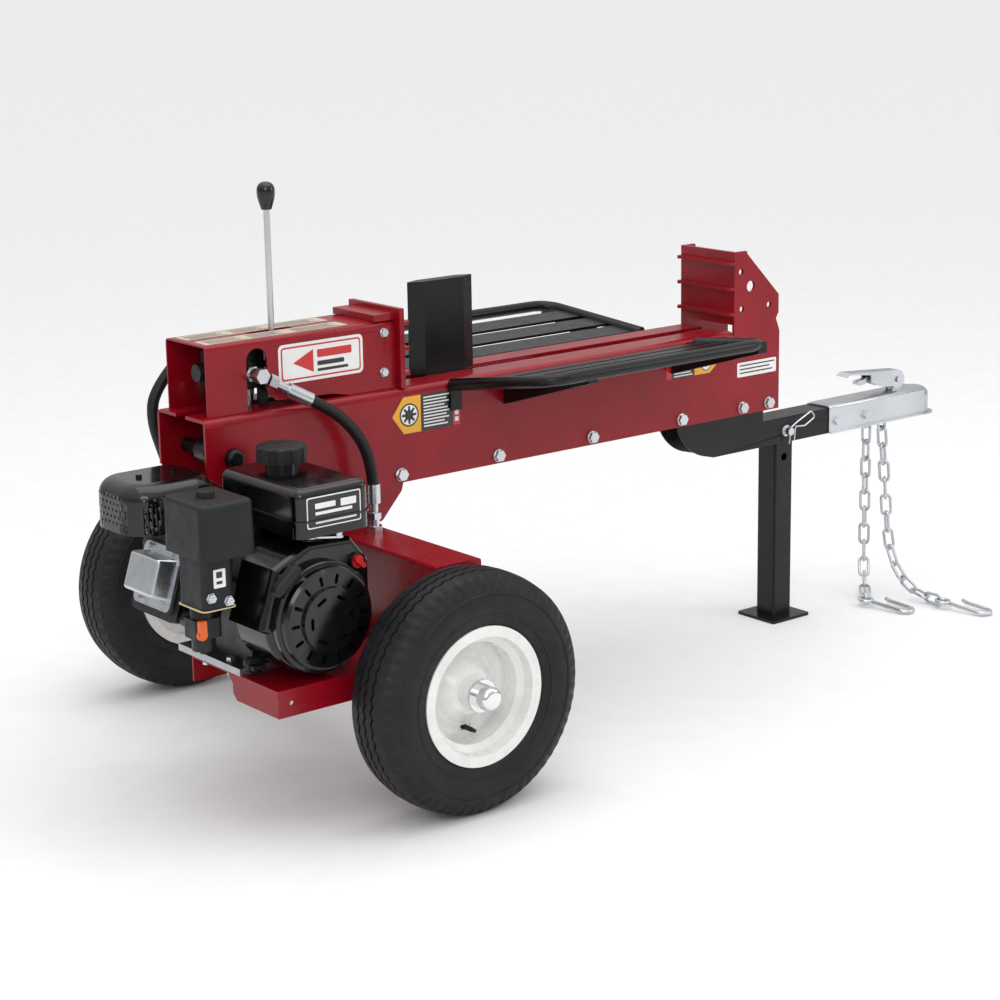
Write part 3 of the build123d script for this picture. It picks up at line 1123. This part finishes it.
# ---------------------------------------------------------------- safety chains
RUN, BEND = (LINK_LONG - LINK_WIDE) / 2, (LINK_WIDE - CHAIN_WIRE) / 2
with BuildPart() as link:
    with BuildLine():
        Line((-RUN, BEND), (RUN, BEND))
        TangentArc((RUN, BEND), (RUN, -BEND), tangent=(1, 0))
        Line((RUN, -BEND), (-RUN, -BEND))
        TangentArc((-RUN, -BEND), (-RUN, BEND), tangent=(-1, 0))
    with BuildSketch(Plane((0, BEND, 0), z_dir=(1, 0, 0))):
        Circle(CHAIN_WIRE / 2)
    sweep()

HOOK_DROOP = radians(5.2)
# Each chain hangs, then runs out along the ground: (fall in degrees, heading at its end).
CHAINS = {
    "near": (-CHAIN_Y, -90, (84,) * 7 + (78, 66, 50, 30, 12, 0)),
    "far": (CHAIN_Y, -135, (90,) * 7 + (85, 70, 50, 28, 10, 0)),
}
for label, (start_y, heading, falls) in CHAINS.items():
    joint = place(CHAIN_X, start_y, CHAIN_PIN_Z + CHAIN_PIN_R + 0.15)
    with BuildPart() as chain:
        for number, fall in enumerate(falls):
            # The chain twists evenly from the pin's plane to its heading on the ground.
            turn = radians((heading + 180) * min(1, number / 9) - 180)
            level_run, bearing = cos(radians(fall)), radians(heading)
            along = Vector(level_run * cos(bearing), level_run * sin(bearing), -sin(radians(fall)))
            level = Vector(-sin(turn), cos(turn), 0)
            upright = along.cross(level).normalized()
            level = upright.cross(along).normalized()
            flat = level if number % 2 == 0 else upright
            add(link.part.moved(Plane(joint + along * LINK_PITCH / 2, x_dir=along, z_dir=flat).location))
            joint = joint + along * LINK_PITCH
    keep(chain, "chain_" + label)
    print(label, "chain ends at", joint - Vector(AXLE_X, 0, 0))
    # The hook's eye sits in the last link; its shank lies on the ground towards -Y.
    axis_point = joint - along * 4.65
    eye = axis_point + along * 13
    out = Vector(0.12, -cos(HOOK_DROOP), -sin(HOOK_DROOP)).normalized()
    flat_up = Vector(0, 0, 1) - out * out.Z
    lay = Plane(eye, x_dir=out, z_dir=flat_up)
    with BuildPart() as hook:
        with BuildLine(lay):
            FilletPolyline((12, 0), (104, 0), (104, 34), (36, 34), (24, 40), radius=(16.9, 16.9, 12))
        with BuildSketch(Plane(lay.from_local_coords((12, 0, 0)), z_dir=lay.x_dir)):
            Circle(4.5)
        sweep()
        add(Solid.make_torus(13, 4.2, plane=Plane(eye, z_dir=flat_up)))
    keep(hook, "hook_" + label)
    print(label, "hook hinge at", axis_point, "axis", level, "lowest", hook.part.bounding_box().min.Z)

# ---------------------------------------------------------------- log racks
for label, side in (("near", -1), ("far", 1)):
    lean = radians(RACK_RISE)
    bed = Plane(place(0, side * RACK_Y, RACK_Z), x_dir=(1, 0, 0), z_dir=(0, -side * sin(lean), cos(lean)))
    reach = 237.0 * side
    with BuildPart() as rack:
        start, corner = (264, side * 2), (300, reach)
        with BuildLine(bed):
            FilletPolyline(start, corner, (812, reach), (866, side * 2), radius=46)
        heading = bed.from_local_coords(corner) - bed.from_local_coords(start)
        with BuildSketch(Plane(bed.from_local_coords(start), z_dir=heading)):
            Circle(RACK_TUBE_R)
        sweep()
        # Inner rail bolted to the beam's side, three slats and two arms below.
        with BuildSketch(bed.offset(-3)):
            for middle, left, right in ((34, 262, 868), (98, 272, 854), (162, 282, 840)):
                with Locations(((left + right) / 2, side * middle)):
                    Rectangle(right - left, 48)
        extrude(amount=5)
        for x in (385, 800):
            with BuildSketch(END.offset(x)):
                with BuildLine():
                    root = side * (BEAM_HALF + 0.3)
                    tip = bed.from_local_coords((0, reach, 0))
                    Polyline((root, 575), (root, 612), (tip.Y, tip.Z + 4), (tip.Y, tip.Z - 17), close=True)
                make_face()
            extrude(amount=22)
        for x in (272, 852):
            with BuildSketch(END.offset(x - 12)):
                with Locations((side * (BEAM_HALF + 3.3), 606)):
                    Rectangle(6, 50)
            extrude(amount=24)
    keep(rack, "log_rack_" + label)

count = len([name for name in os.listdir("parts") if name.endswith(".step")])
print("nodes", count)
